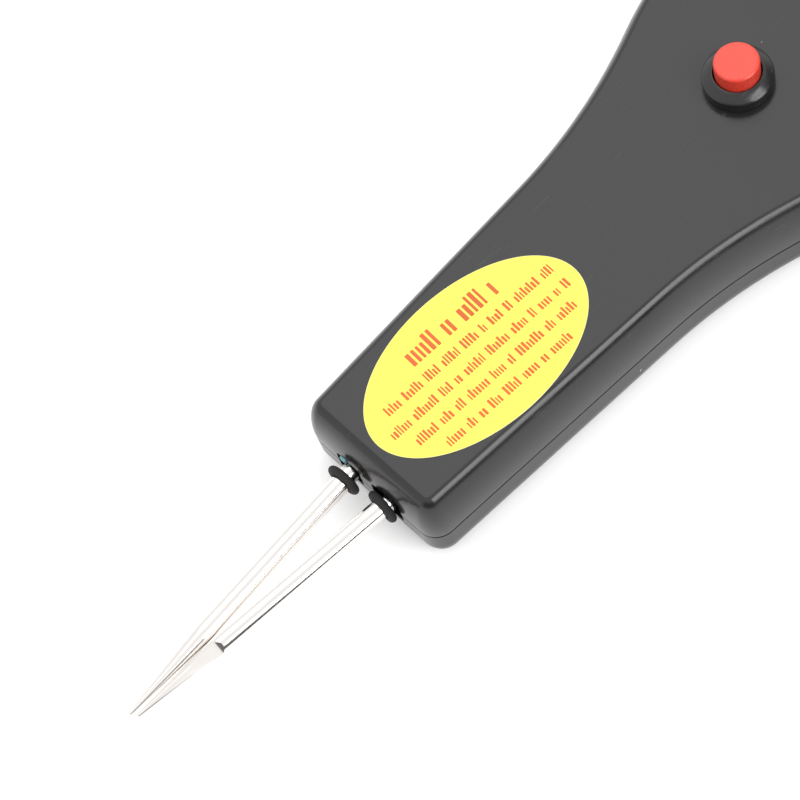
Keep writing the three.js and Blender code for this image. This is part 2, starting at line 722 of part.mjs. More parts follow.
for (const { side, flip, toe, tipX, ringX, sectors } of ARMS) {
  const ahead = (x) => (PIVOT_X - x) / Math.cos(toe);
  const arm = new THREE.Group();
  arm.position.set(PIVOT_X, flip * PIVOT_Y, 0);
  arm.scale.y = flip;
  add(arm, `needle_arm_${side}`, needleArm(toe, sectors), ARM_ALLOY);

  const alongNeedle = new THREE.Group();
  alongNeedle.rotation.z = toe;
  const plain = needle(ahead(tipX));
  const shape = side === "right" ? cut(plain, groundFlat(ahead(tipX))) : plain;
  add(alongNeedle, `needle_${side}`, shape, STEEL);
  add(alongNeedle, `o_ring_${side}`, oRing(ahead(ringX)), RUBBER);
  add(alongNeedle, `clamp_screw_${side}`, clampScrew(), DARK_STEEL);
  arm.add(alongNeedle);
  tool.add(arm);
  add(tool, `pivot_pin_${side}`, pivotPin(PIVOT_X, flip * PIVOT_Y), STEEL);
}

add(tool, "drive_pinion", drivePinion(), GEAR_NYLON);
add(tool, "pinion_shaft", pinionShaft(), STEEL);
add(tool, "gearbox_housing", gearboxHousing(), CHIP_BLACK);
add(tool, "motor_can", motorLength(CAN_X, MOTOR.length, MOTOR.radius, MOTOR.flat), NICKEL);
add(tool, "motor_end_cap", motorEndCap(), GEAR_NYLON);
[-1, 1].forEach((side, index) => {
  add(tool, `motor_terminal_${index + 1}`, motorTerminal(side), BRASS);
  add(tool, `switch_terminal_${index + 1}`, switchTerminal(side), BRASS);
});

add(tool, "circuit_board", circuitBoard(), BOARD_GREEN);
add(tool, "driver_chip", driverChip(), CHIP_BLACK);
add(tool, "capacitor", capacitor(), FOIL_SLEEVE);

add(tool, "switch_housing", switchHousing(), BEZEL_PLASTIC);
add(tool, "switch_nut", switchNut(), NICKEL);
add(tool, "switch_cap", switchCap(), RED_PLASTIC);
add(tool, "switch_spring", switchSpring(), STEEL);

CELL_ROWS.forEach((row, index) => {
  const facing = index % 2 ? -1 : 1;
  add(tool, `cell_${index + 1}`, cell(row, facing), CELL_WRAP);
  add(tool, `contact_spring_${index + 1}`, contactSpring(row, facing), NICKEL);
});
const plateHalf = 2 * CELL.pitch - 1.4;
add(tool, "contact_plate_front_1", contactPlate(BAY_X0 - 0.4, -plateHalf, -1), NICKEL);
add(tool, "contact_plate_front_2", contactPlate(BAY_X0 - 0.4, 1, plateHalf), NICKEL);
add(tool, "contact_plate_rear_1", contactPlate(BAY_X1, -plateHalf, -CELL.pitch - 1), NICKEL);
add(tool, "contact_plate_rear_2", contactPlate(BAY_X1, 1 - CELL.pitch, CELL.pitch - 1), NICKEL);
add(tool, "contact_plate_rear_3", contactPlate(BAY_X1, CELL.pitch + 1, plateHalf), NICKEL);

tool.position.x = -(TAIL_X - TIP_REACH) / 2;

export default tool;
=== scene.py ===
"""Visual model of a battery hand tool with two steel needles that swing apart and together.

The shapes are modelled in millimetres in the tool's own frame: x is 0 at the nose face and grows
towards the tail, y is the side of the plain needle, and z is 0 at the underside. Each finished mesh
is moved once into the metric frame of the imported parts.
"""

import logging
import math
import random
from dataclasses import dataclass
from enum import Enum
from typing import Iterable, Sequence

import bmesh
import bpy
from mathutils import Matrix, Vector


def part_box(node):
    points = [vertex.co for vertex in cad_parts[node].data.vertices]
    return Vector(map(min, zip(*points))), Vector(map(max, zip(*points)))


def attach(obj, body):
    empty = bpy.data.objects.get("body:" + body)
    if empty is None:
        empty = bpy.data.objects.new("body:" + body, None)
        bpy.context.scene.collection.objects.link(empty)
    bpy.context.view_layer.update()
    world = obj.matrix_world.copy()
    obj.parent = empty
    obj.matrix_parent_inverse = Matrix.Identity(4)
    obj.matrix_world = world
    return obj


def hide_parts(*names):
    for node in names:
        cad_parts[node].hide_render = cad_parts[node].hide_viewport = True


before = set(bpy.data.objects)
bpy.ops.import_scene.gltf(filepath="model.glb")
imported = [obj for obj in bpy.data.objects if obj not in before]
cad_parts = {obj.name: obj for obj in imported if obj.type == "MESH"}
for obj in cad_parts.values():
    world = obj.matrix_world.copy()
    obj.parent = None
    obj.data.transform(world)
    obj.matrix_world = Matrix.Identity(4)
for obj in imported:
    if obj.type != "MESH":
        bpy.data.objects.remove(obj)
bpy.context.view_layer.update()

LOG = logging.getLogger("needle_tool")
MM = 0.001
NOSE_X = float(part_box("upper_shell")[0][0])
TO_ROW = Matrix.Translation((NOSE_X, 0.0, 0.0)) @ Matrix.Scale(MM, 4)

Point = tuple[float, float]
Colour = tuple[float, float, float]


# ---- Shader fields and graphs ----


@dataclass(frozen=True)
class Field:
    """A number that varies over a surface, as one output socket of a shader graph."""

    graph: "Graph"
    socket: bpy.types.NodeSocket

    def _math(self, operation: str, first: "Field | float", second: "Field | float") -> "Field":
        """Add one Math node to the graph.

        Args:
            operation: the node's operation.
            first: its first value.
            second: its second value.

        Returns:
            The node's result.
        """
        node = self.graph.node("ShaderNodeMath", {"operation": operation}, {0: first, 1: second})
        return Field(self.graph, node.outputs[0])

    def __add__(self, other: "Field | float") -> "Field":
        """Sum."""
        return self._math("ADD", self, other)

    __radd__ = __add__

    def __mul__(self, other: "Field | float") -> "Field":
        """Product."""
        return self._math("MULTIPLY", self, other)

    __rmul__ = __mul__

    def __sub__(self, other: "Field | float") -> "Field":
        """Difference."""
        return self._math("SUBTRACT", self, other)

    def __rsub__(self, other: "Field | float") -> "Field":
        """Difference the other way round, as in 1 - mask."""
        return self._math("SUBTRACT", other, self)

    def rise(self, low: float, high: float) -> "Field":
        """Turn the field into a smooth mask.

        Args:
            low: the value that gives 0.
            high: the value that gives 1; it may be below `low` to turn the mask round.

        Returns:
            The mask, from 0 to 1.
        """
        settings = {"interpolation_type": "SMOOTHSTEP"}
        values = {"Value": self, "From Min": low, "From Max": high}
        return Field(self.graph, self.graph.node("ShaderNodeMapRange", settings, values).outputs[0])


class Graph:
    """The node graph of one material."""

    def __init__(self, name: str) -> None:
        """Make an empty material with this name."""
        self.material = bpy.data.materials.new(name)
        self.material.use_nodes = True
        self.tree = self.material.node_tree
        self.tree.nodes.clear()

    def node(self, kind: str, settings: dict[str, object], inputs: dict[object, object]) -> bpy.types.Node:
        """Add a node.

        Args:
            kind: the node's type.
            settings: its properties, which are set first.
            inputs: the value, colour or link of each socket, by name or number.

        Returns:
            The new node.
        """
        made = self.tree.nodes.new(kind)
        for key, value in settings.items():
            setattr(made, key, value)
        for key, value in inputs.items():
            if isinstance(value, Field):
                value = value.socket
            if isinstance(value, bpy.types.NodeSocket):
                self.tree.links.new(value, made.inputs[key])
            else:
                made.inputs[key].default_value = value
        return made

    def place(self, stretch: Colour = (1.0, 1.0, 1.0), turn: float = 0.0) -> bpy.types.NodeSocket:
        """Object coordinates, scaled along each axis and turned about the upright one."""
        source = self.node("ShaderNodeTexCoord", {}, {}).outputs["Object"]
        inputs = {"Vector": source, "Scale": stretch, "Rotation": (0.0, 0.0, turn)}
        return self.node("ShaderNodeMapping", {}, inputs).outputs[0]

    def axis(self, index: int) -> Field:
        """One object coordinate, in metres."""
        source = self.node("ShaderNodeTexCoord", {}, {}).outputs["Object"]
        parts = self.node("ShaderNodeSeparateXYZ", {}, {0: source})
        return Field(self, parts.outputs[index])

    def noise(self, place: bpy.types.NodeSocket, scale: float, detail: float = 2.0) -> Field:
        """Smooth noise, from about 0.25 to 0.75."""
        inputs = {"Vector": place, "Scale": scale, "Detail": detail, "Roughness": 0.55}
        return Field(self, self.node("ShaderNodeTexNoise", {}, inputs).outputs[0])

    def specks(self, place: bpy.types.NodeSocket, scale: float, size: float) -> Field:
        """A mask of small round specks, one in about every third cell.

        Args:
            place: the coordinates.
            scale: cells per metre.
            size: the largest speck's radius, as a share of a cell.

        Returns:
            The mask.
        """
        cells = self.node("ShaderNodeTexVoronoi", {}, {"Vector": place, "Scale": scale})
        chance = self.node("ShaderNodeSeparateColor", {}, {0: cells.outputs["Color"]})
        present = Field(self, chance.outputs[0]).rise(0.62, 0.9)
        return Field(self, cells.outputs["Distance"]).rise(size, size * 0.55) * present

    def blend(self, mask: Field, plain: object, marked: object) -> bpy.types.NodeSocket:
        """Mix two colours by a mask.

        Args:
            mask: 0 for the plain colour, 1 for the marked one.
            plain: a colour or a colour socket.
            marked: a colour or a colour socket.

        Returns:
            The mixed colour.
        """
        as_input = [(*c, 1.0) if isinstance(c, tuple) else c for c in (plain, marked)]
        inputs = {0: mask, 6: as_input[0], 7: as_input[1]}
        settings = {"data_type": "RGBA", "clamp_factor": True}
        return self.node("ShaderNodeMix", settings, inputs).outputs[2]

    def bump(self, height: Field, depth: float, strength: float) -> bpy.types.NodeSocket:
        """A normal from a height field, `depth` metres deep."""
        inputs = {"Height": height, "Distance": depth, "Strength": strength}
        return self.node("ShaderNodeBump", {}, inputs).outputs[0]

    def close(self, inputs: dict[str, object]) -> bpy.types.Material:
        """End the graph with one shader.

        Args:
            inputs: the values or links of the shader's sockets.

        Returns:
            The material.
        """
        shader = self.node("ShaderNodeBsdfPrincipled", {}, inputs)
        self.node("ShaderNodeOutputMaterial", {}, {"Surface": shader.outputs[0]})
        return self.material


# ---- Finishes ----


class Lay(Enum):
    """The way that the fine marks of a finish run, as a stretch of the coordinates."""

    EVEN = (1.0, 1.0, 1.0)
    ROUND_BAR = (14.0, 0.5, 0.5)
    ALONG_X = (0.08, 1.6, 1.6)
    ALONG_Z = (1.6, 1.6, 0.08)


CLOUD_SCALE = 55.0
PATCH_SCALE = 140.0
STROKE_STRETCH = (90.0, 1400.0, 1400.0)
STROKE_TURN = 0.5
DUST_SCALE = 210.0
DUST_SIZE = 0.055
DUST_TONE = (0.6, 0.59, 0.57)
COAT_ROUGHNESS = 0.12
GRAIN_STRENGTH = 0.8


@dataclass(frozen=True)
class Finish:
    """A finish: its colour, gloss, grain, and the marks that use has left on it."""

    name: str
    slot: str
    colour: Colour
    roughness: float
    metallic: float = 0.0
    coat: float = 0.0
    specular: float = 0.5
    lay: Lay = Lay.EVEN
    grain: float = 2600.0
    grain_depth: float = 0.00002
    mottle: float = 0.15
    scuff: float = 0.25
    dust: float = 0.0

    def tones(self) -> tuple[Colour, Colour]:
        """The darker and the lighter tone that the mottling runs between."""
        dark = tuple(max(0.0, c * (1.0 - self.mottle)) for c in self.colour)
        light = tuple(min(1.0, c * (1.0 + self.mottle) + 0.02 * self.mottle) for c in self.colour)
        return dark, light

    def paint(self, graph: Graph, base: object = None) -> bpy.types.Material:
        """Build the material.

        Args:
            graph: an empty graph.
            base: a colour socket to use in place of the mottled colour.

        Returns:
            The material.
        """
        even = graph.place()
        cloud = graph.noise(even, CLOUD_SCALE, 3.0).rise(0.3, 0.7)
        fine = graph.noise(graph.place(self.lay.value), self.grain, 3.0)
        strokes = graph.noise(graph.place(STROKE_STRETCH, STROKE_TURN), 1.0, 2.0)
        patches = graph.noise(even, PATCH_SCALE, 2.0).rise(0.5, 0.62)
        scuffs = strokes.rise(0.6, 0.72) * patches
        dark, light = self.tones()
        tone = base if base is not None else graph.blend(cloud, dark, light)
        worn = tuple(c * 0.75 + 0.16 for c in self.colour)
        tone = graph.blend(scuffs * self.scuff, tone, worn)
        if self.dust > 0.0:
            dust = graph.specks(even, DUST_SCALE, DUST_SIZE) * self.dust
            tone = graph.blend(dust, tone, DUST_TONE)
        rough = cloud * 0.07 + scuffs * 0.12 + fine * 0.08 + (self.roughness - 0.075)
        height = fine + scuffs * -0.6
        return graph.close(
            {
                "Base Color": tone,
                "Roughness": rough,
                "Metallic": self.metallic,
                "Coat Weight": self.coat,
                "Coat Roughness": COAT_ROUGHNESS,
                "Specular IOR Level": self.specular,
                "Normal": graph.bump(height, self.grain_depth, GRAIN_STRENGTH),
            }
        )

    def material(self) -> bpy.types.Material:
        """The material of this name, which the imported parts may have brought, or else a new one."""
        known = bpy.data.materials.get(self.name)
        return known if known is not None else self.paint(Graph(self.name))


HOUSING = Finish("moulded_black", "housing_plastic", (0.014, 0.0137, 0.0145), 0.22, grain=1900.0,
                 grain_depth=0.0000015, mottle=0.06, scuff=0.08, dust=0.8)
BEZEL = Finish("bezel_black", "bezel_plastic", (0.016, 0.015, 0.016), 0.24,
               grain_depth=0.000002, scuff=0.1, dust=0.4)
CAP = Finish("cap_red", "cap_plastic", (0.82, 0.06, 0.035), 0.3, coat=0.1, mottle=0.05, scuff=0.15)
VINYL = Finish("label_yellow", "label_vinyl", (0.92, 0.8, 0.1), 0.42, mottle=0.02, scuff=0.03,
               grain=1500.0, grain_depth=0.000006)
PAPER = Finish("label_edge", "label_vinyl", (0.8, 0.78, 0.5), 0.6, mottle=0.04)
INK = Finish("label_ink", "label_vinyl", (0.66, 0.12, 0.02), 0.5, mottle=0.1, scuff=0.1)
POLISHED = Finish("needle_steel", "needle_steel", (0.7, 0.65, 0.6), 0.13, 1.0, lay=Lay.ROUND_BAR,
                  grain=900.0, grain_depth=0.000002, mottle=0.05, scuff=0.1)
DARK_STEEL = Finish("dark_steel", "dark_steel", (0.12, 0.12, 0.13), 0.36, 1.0, scuff=0.4)
RUBBER = Finish("ring_rubber", "ring_rubber", (0.01, 0.0095, 0.01), 0.2, specular=0.8, grain=5200.0,
                grain_depth=0.000006, scuff=0.05)
SILICONE = Finish("pad_silicone", "pad_silicone", (0.3, 0.42, 0.43), 0.45, mottle=0.06)
ALLOY = Finish("arm_alloy", "arm_alloy", (0.55, 0.56, 0.58), 0.34, 1.0, lay=Lay.ALONG_X, grain=1800.0)
NYLON = Finish("gear_nylon", "gear_nylon", (0.78, 0.74, 0.62), 0.45, grain=1900.0, mottle=0.06)
BRASS = Finish("brass", "brass", (0.72, 0.48, 0.16), 0.3, 1.0, lay=Lay.ALONG_X, mottle=0.12)
NICKEL = Finish("nickel", "nickel", (0.62, 0.61, 0.58), 0.26, 1.0, lay=Lay.ALONG_Z, scuff=0.3)
COMPONENT = Finish("component_black", "component_black", (0.02, 0.02, 0.021), 0.5, mottle=0.2)
SLEEVE = Finish("capacitor_sleeve", "capacitor_sleeve", (0.03, 0.04, 0.11), 0.28, coat=0.3)


@dataclass(frozen=True)
class BoardFinish:
    """Green solder mask over a grid of copper tracks."""

    ground: Finish = Finish("board_laminate", "board_laminate", (0.02, 0.13, 0.05), 0.35, coat=0.4)

    def material(self) -> bpy.types.Material:
        """The board's material."""
        graph = Graph(self.ground.name)
        settings = {"offset": 0.5, "squash": 1.4}
        inputs = {"Vector": graph.place(), "Scale": 260.0, "Mortar Size": 0.06, "Mortar Smooth": 0.2}
        tracks = Field(graph, graph.node("ShaderNodeTexBrick", settings, inputs).outputs["Fac"])
        tone = graph.blend(tracks * 0.7, self.ground.colour, (0.08, 0.3, 0.12))
        return self.ground.paint(graph, tone)


@dataclass(frozen=True)
class CellFinish:
    """The printed sleeve of a round cell, with a pale band at its raised end."""

    name: str
    low_x: float
    high_x: float
    facing: int

    def material(self) -> bpy.types.Material:
        """The cell's material, with metal showing at both ends."""
        graph = Graph(self.name)
        middle = (self.low_x + self.high_x) / 2
        half = (self.high_x - self.low_x) / 2
        along = (graph.axis(0) - middle) * (self.facing / half)
        band = along.rise(0.52, 0.54) * along.rise(0.8, 0.78)
        ends = along.rise(0.955, 0.965) + along.rise(-0.985, -0.99)
        sleeve = graph.blend(band, (0.05, 0.12, 0.26), (0.75, 0.76, 0.74))
        tone = graph.blend(ends, sleeve, (0.6, 0.59, 0.56))
        scratches = graph.noise(graph.place((0.1, 1.5, 1.5)), 2400.0)
        rough = scratches * 0.14 + 0.22
        normal = graph.bump(scratches + band * 0.8, 0.00002, 0.6)
        return graph.close({"Base Color": tone, "Roughness": rough, "Metallic": ends, "Normal": normal})


# ---- Mesh tools ----


class Carve(Enum):
    """What a solid tool does to a solid."""

    CUT = "DIFFERENCE"
    JOIN = "UNION"


def loose(mesh: bmesh.types.BMesh, name: str) -> bpy.types.Object:
    """Make an object of a bmesh, still in millimetres, and free the bmesh."""
    bmesh.ops.recalc_face_normals(mesh, faces=mesh.faces)
    data = bpy.data.meshes.new(name)
    mesh.to_mesh(data)
    mesh.free()
    made = bpy.data.objects.new(name, data)
    bpy.context.scene.collection.objects.link(made)
    return made


def settle(piece: bpy.types.Object) -> None:
    """Replace a piece's mesh by what its modifiers make of it."""
    graph = bpy.context.evaluated_depsgraph_get()
    graph.update()
    old = piece.data
    piece.data = bpy.data.meshes.new_from_object(piece.evaluated_get(graph))
    piece.modifiers.clear()
    bpy.data.meshes.remove(old)


def carve(piece: bpy.types.Object, tool: bpy.types.Object, how: Carve = Carve.CUT) -> None:
    """Cut a tool out of a piece or join it on, and remove the tool.

    Args:
        piece: the solid that changes.
        tool: the solid that works on it.
        how: cut or join.
    """
    step = piece.modifiers.new("carve", "BOOLEAN")
    step.operation = how.value
    step.solver = "EXACT"
    step.object = tool
    settle(piece)
    data = tool.data
    bpy.data.objects.remove(tool)
    bpy.data.meshes.remove(data)


def finished(piece: bpy.types.Object, body: str, finish: Finish, nodes: Sequence[str], sharp: float = 32.0,
             ) -> bpy.types.Object:
    """Move a piece into the metric frame, dress it and let it ride.

    Args:
        piece: the object, in millimetres.
        body: the body that it rides on.
        finish: its finish.
        nodes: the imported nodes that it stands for.
        sharp: the angle in degrees above which an edge shades as a corner.

    Returns:
        The same object.
    """
    piece.data.transform(TO_ROW)
    piece.data.shade_smooth()
    piece.data.set_sharp_from_angle(angle=math.radians(sharp))
    even = piece.modifiers.new("even_shading", "WEIGHTED_NORMAL")
    even.keep_sharp = True
    settle(piece)
    if not piece.data.materials:
        piece.data.materials.append(finish.material())
    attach(piece, body)
    if nodes:
        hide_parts(*nodes)
    LOG.info("%s: %d faces on %s", piece.name, len(piece.data.polygons), body)
    return piece


def spun(profile: Sequence[Point], steps: int, ease: float = 0.0) -> bmesh.types.BMesh:
    """Spin a profile about the upright axis.

    Args:
        profile: points as radius and height.
        steps: how many steps make a full turn.
        ease: how far the corners of the profile are rounded back.

    Returns:
        The closed surface.
    """
    mesh = bmesh.new()
    dots = [mesh.verts.new((radius, 0.0, height)) for radius, height in profile]
    lines = [mesh.edges.new(pair) for pair in zip(dots, dots[1:])]
    bmesh.ops.spin(mesh, geom=dots + lines, cent=(0, 0, 0), axis=(0, 0, 1), angle=2 * math.pi,
                   steps=steps, use_merge=True, use_duplicate=False)
    bmesh.ops.remove_doubles(mesh, verts=mesh.verts, dist=1e-4)
    bmesh.ops.recalc_face_normals(mesh, faces=mesh.faces)
    if ease > 0.0:
        limit = math.radians(20.0)
        corners = [e for e in mesh.edges if e.is_manifold and e.calc_face_angle(0.0) > limit]
        bevelled(mesh, corners, ease, 3)
    return mesh


def bevelled(mesh: bmesh.types.BMesh, edges: Iterable[bmesh.types.BMEdge], offset: float,
             segments: int) -> None:
    """Round some edges of a mesh."""
    bmesh.ops.bevel(mesh, geom=list(edges), offset=offset, segments=segments, affect="EDGES",
                    profile=0.5, material=-1, clamp_overlap=True)


def round_block(low: Sequence[float], high: Sequence[float], ease: float, along: int | None = None,
                ) -> bmesh.types.BMesh:
    """A box between two corners with rounded edges.

    Args:
        low: its lowest corner.
        high: its highest corner.
        ease: the radius of its edges.
        along: the axis whose parallel edges alone are rounded, or None for all.

    Returns:
        The box.
    """
    mesh = bmesh.new()
    size = [b - a for a, b in zip(low, high)]
    middle = [(a + b) / 2 for a, b in zip(low, high)]
    matrix = Matrix.Translation(middle) @ Matrix.Diagonal((*size, 1.0))
    bmesh.ops.create_cube(mesh, size=1.0, matrix=matrix)
    chosen = list(mesh.edges)
    if along is not None:
        chosen = [e for e in chosen if abs((e.verts[1].co - e.verts[0].co)[along]) > 1e-6]
    if ease > 0.0:
        bevelled(mesh, chosen, ease, 4)
    return mesh


def post(x: float, y: float, radius: float, low: float, high: float, steps: int = 48) -> bmesh.types.BMesh:
    """An upright round post."""
    mesh = spun([(0.0, low), (radius, low), (radius, high), (0.0, high)], steps)
    bmesh.ops.translate(mesh, verts=mesh.verts, vec=(x, y, 0.0))
    return mesh


def arc(x: float, y: float, radius: float, start: float, end: float, steps: int) -> list[Point]:
    """Points on an arc between two angles."""
    angles = [start + (end - start) * step / steps for step in range(steps + 1)]
    return [(x + radius * math.cos(a), y + radius * math.sin(a)) for a in angles]


def mm_box(node: str) -> tuple[Vector, Vector]:
    """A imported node's lowest and highest corner, in millimetres in the tool's frame."""
    low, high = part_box(node)
    back = TO_ROW.inverted()
    return back @ Vector(low), back @ Vector(high)


# ---- Housing ----


@dataclass(frozen=True)
class BodyPlan:
    """The plan outline of the housing: a slim neck, a flare and a broad rounded tail."""

    nose_half: float = 18.0
    nose_corner: float = 4.3
    taper: float = 0.043
    flare_x: float = 60.3
    flare_radius: float = 111.0
    shoulder_x: float = 99.0
    shoulder_radius: float = 100.0
    tail_x: float = 184.0
    tail_corner: float = 18.0

    def half(self, x: float) -> float:
        """Half the width along the neck and the flare."""
        return self.nose_half + self.taper * x + max(0.0, x - self.flare_x) ** 2 / (2 * self.flare_radius)

    def side(self, inset: float) -> list[Point]:
        """The outline of the plain needle's side, from the nose to the tail.

        Args:
            inset: how far it is moved in all round.

        Returns:
            The points.
        """
        quarter = math.pi / 2
        slope = math.atan(self.taper + (self.shoulder_x - self.flare_x) / self.flare_radius)
        hub_x = self.shoulder_x + self.shoulder_radius * math.sin(slope)
        hub_y = self.half(self.shoulder_x) - self.shoulder_radius * math.cos(slope)
        tail_y = hub_y + self.shoulder_radius - self.tail_corner
        nose = arc(self.nose_corner, self.nose_half - self.nose_corner, self.nose_corner - inset,
                   math.pi, quarter, 12)
        flare = []
        for step in range(20):
            x = self.flare_x + (self.shoulder_x - self.flare_x) * step / 20
            lean = math.atan(self.taper + (x - self.flare_x) / self.flare_radius)
            flare.append((x + inset * math.sin(lean), self.half(x) - inset * math.cos(lean)))
        shoulder = arc(hub_x, hub_y, self.shoulder_radius - inset, quarter + slope, quarter, 14)
        tail = arc(self.tail_x - self.tail_corner, tail_y, self.tail_corner - inset, quarter, 0.0, 18)
        return nose + flare + shoulder + tail

    def outline(self, inset: float) -> list[Point]:
        """The whole closed outline, moved in all round."""
        side = self.side(inset)
        return side + [(x, -y) for x, y in reversed(side)]


@dataclass(frozen=True)
class Rounding:
    """An edge that is rounded over as a quarter of an ellipse."""

    inset: float
    rise: float
    steps: int = 12

    def stops(self) -> list[Point]:
        """The reach in from the wall and the height of each step of the rounding."""
        angles = [math.pi / 2 * step / self.steps for step in range(1, self.steps + 1)]
        return [(self.inset * (1.0 - math.cos(a)), self.rise * math.sin(a)) for a in angles]

    def fall(self, depth: float) -> float:
        """How far the surface lies below the flat face, `depth` out from where that face ends."""
        share = min(max(depth, 0.0) / self.inset, 1.0)
        return self.rise * (1.0 - math.sqrt(1.0 - share * share))

    def less(self, wall: float) -> "Rounding":
        """The rounding of the hollow inside a wall."""
        return Rounding(self.inset - wall, self.rise - wall, self.steps)


@dataclass(frozen=True)
class Housing:
    """The two shells of the housing, with their openings and inner posts."""

    plan: BodyPlan = BodyPlan()
    top: float = 20.3
    seam: float = 9.3
    gap: float = 0.3
    wall: float = 2.2
    skin: float = 0.01
    upper_edge: Rounding = Rounding(3.7, 9.8, 16)
    lower_edge: Rounding = Rounding(3.6, 4.8)
    slots: tuple[Point, ...] = ((2.4, 8.6), (-8.6, -0.9))
    slot_half: float = 3.4
    boss: float = 3.1
    screw_hole: float = 1.4
    switch_hole: float = 6.2
    recess: float = 2.9
    recess_depth: float = 2.5
    recess_mouth: float = 3.5
    recess_chamfer: float = 0.5
    bay_wall: float = 1.5
    bay_ease: float = 0.3
    bay_top: float = 15.0
    bay_places: Point = (2.2, 0.3)
    sharp: float = 38.0

    def form(self, base: float, end: float, edge: Rounding, inset: float, ease: float) -> bpy.types.Object:
        """A solid of the plan from a flat base to a rounded end.

        Args:
            base: height of the flat base.
            end: height of the far face, above or below the base.
            edge: the rounding of the far face's edge.
            inset: how far the plan is moved in.
            ease: the small rounding of the base's edge.

        Returns:
            The solid.
        """
        mesh = bmesh.new()
        ring = [mesh.verts.new((x, y, base)) for x, y in self.plan.outline(inset)]
        face = mesh.faces.new(ring)
        direction = 1.0 if end > base else -1.0
        lifted = bmesh.ops.extrude_face_region(mesh, geom=[face])["geom"]
        far = next(item for item in lifted if isinstance(item, bmesh.types.BMFace))
        wall_top = end - direction * edge.rise
        bmesh.ops.translate(mesh, verts=far.verts, vec=(0.0, 0.0, wall_top - base))
        if ease > 0.0:
            rim = [e for e in mesh.edges if all(abs(v.co.z - base) < 1e-6 for v in e.verts)]
            bevelled(mesh, rim, ease, 2)
            far = max(mesh.faces, key=lambda f: direction * f.calc_center_median().z)
        reach = 0.0
        height = 0.0
        for next_reach, next_height in edge.stops():
            bmesh.ops.inset_region(mesh, faces=[far], thickness=next_reach - reach,
                                   use_even_offset=True, use_boundary=True)
            bmesh.ops.translate(mesh, verts=far.verts, vec=(0.0, 0.0, direction * (next_height - height)))
            reach, height = next_reach, next_height
        return loose(mesh, "form")

    def fall(self, x: float, y: float) -> float:
        """How far the upper surface lies below the flat face above a point of the plan."""
        return self.upper_edge.fall(self.upper_edge.inset - self.plan.half(x) + abs(y))

    def cut_slots(self, shell: bpy.types.Object) -> None:
        """Cut the two openings that the needles swing in."""
        for low, high in self.slots:
            slot = round_block((-1.0, low, self.seam - self.slot_half),
                               (2 * self.wall, high, self.seam + self.slot_half), 1.1, along=0)
            carve(shell, loose(slot, "slot"))

    def screw_places(self) -> list[Point]:
        """The places of the six shell screws."""
        boxes = [mm_box(f"shell_screw_{index}") for index in range(1, 7)]
        return [((low.x + high.x) / 2, (low.y + high.y) / 2) for low, high in boxes]

    def build_upper(self) -> bpy.types.Object:
        """The upper shell, with the switch hole and the screw posts."""
        base = self.seam + self.gap / 2
        shell = self.form(base, self.top, self.upper_edge, self.skin, 0.14)
        hollow = self.form(base - 1.0, self.top - self.wall, self.upper_edge.less(self.wall), self.wall, 0.0)
        carve(shell, hollow)
        for x, y in self.screw_places():
            carve(shell, loose(post(x, y, self.boss, base, self.top - self.wall + 0.4), "boss"), Carve.JOIN)
            carve(shell, loose(post(x, y, self.screw_hole, base - 1.0, self.top - self.wall - 1.0), "hole"))
        low, high = mm_box("switch_housing")
        middle = (low + high) / 2
        hole = post(middle.x, middle.y, self.switch_hole, self.top - 4.0, self.top + 2.0, 96)
        carve(shell, loose(hole, "hole"))
        self.cut_slots(shell)
        shell.name = "upper_case"
        return finished(shell, "housing", HOUSING, ["upper_shell"], self.sharp)

    def build_lower(self) -> bpy.types.Object:
        """The lower shell, with its lip, posts, bay walls, screw recesses and cover opening."""
        base = self.seam - self.gap / 2
        shell = self.form(base, 0.0, self.lower_edge, self.skin, 0.14)
        hollow = self.form(base + 1.0, self.wall, self.lower_edge.less(self.wall), self.wall, 0.0)
        carve(shell, hollow)
        self.add_lip(shell, base)
        cover_low, cover_high = mm_box("battery_cover")
        for x in (cover_low.x - self.bay_places[0], cover_high.x - self.bay_places[1]):
            far_corner = (x + self.bay_wall, cover_high.y, self.bay_top)
            wall = round_block((x, cover_low.y, 1.0), far_corner, self.bay_ease)
            carve(shell, loose(wall, "bay_wall"), Carve.JOIN)
        for x, y in self.screw_places():
            carve(shell, loose(post(x, y, self.boss, 1.0, base), "boss"), Carve.JOIN)
            carve(shell, loose(post(x, y, self.screw_hole, -1.0, self.top), "hole"))
            carve(shell, loose(self.screw_recess(x, y), "recess"))
        room = self.gap
        opening = round_block((cover_low.x - room, cover_low.y - room, -1.0),
                              (cover_high.x + room, cover_high.y + room, self.wall + 0.6), 0.8, along=2)
        carve(shell, loose(opening, "opening"))
        self.cut_slots(shell)
        shell.name = "lower_case"
        return finished(shell, "housing", HOUSING, ["lower_shell"], self.sharp)

    def add_lip(self, shell: bpy.types.Object, base: float) -> None:
        """Add the thin rim inside the wall that the upper shell fits over.

        Args:
            shell: the lower shell.
            base: the height of its parting face.
        """
        edge = Rounding(0.2, 0.3, 2)
        rim = self.form(base - 2.5, base - 0.5, edge, self.wall - self.gap, 0.0)
        carve(rim, self.form(base - 1.0, base + 1.4, edge, self.wall + 0.2, 0.0), Carve.JOIN)
        carve(rim, self.form(base - 3.0, base + 3.0, edge, self.wall + 1.2, 0.0))
        carve(shell, rim, Carve.JOIN)

    def screw_recess(self, x: float, y: float) -> bmesh.types.BMesh:
        """The tool for a screw's recess, with a chamfered mouth."""
        profile = [
            (0.0, -self.recess_chamfer),
            (self.recess_mouth, -self.recess_chamfer),
            (self.recess_mouth, 0.0),
            (self.recess, self.recess_chamfer),
            (self.recess, self.recess_depth),
            (0.0, self.recess_depth),
        ]
        mesh = spun(profile, 48)
        bmesh.ops.translate(mesh, verts=mesh.verts, vec=(x, y, 0.0))
        return mesh


# ---- Label ----


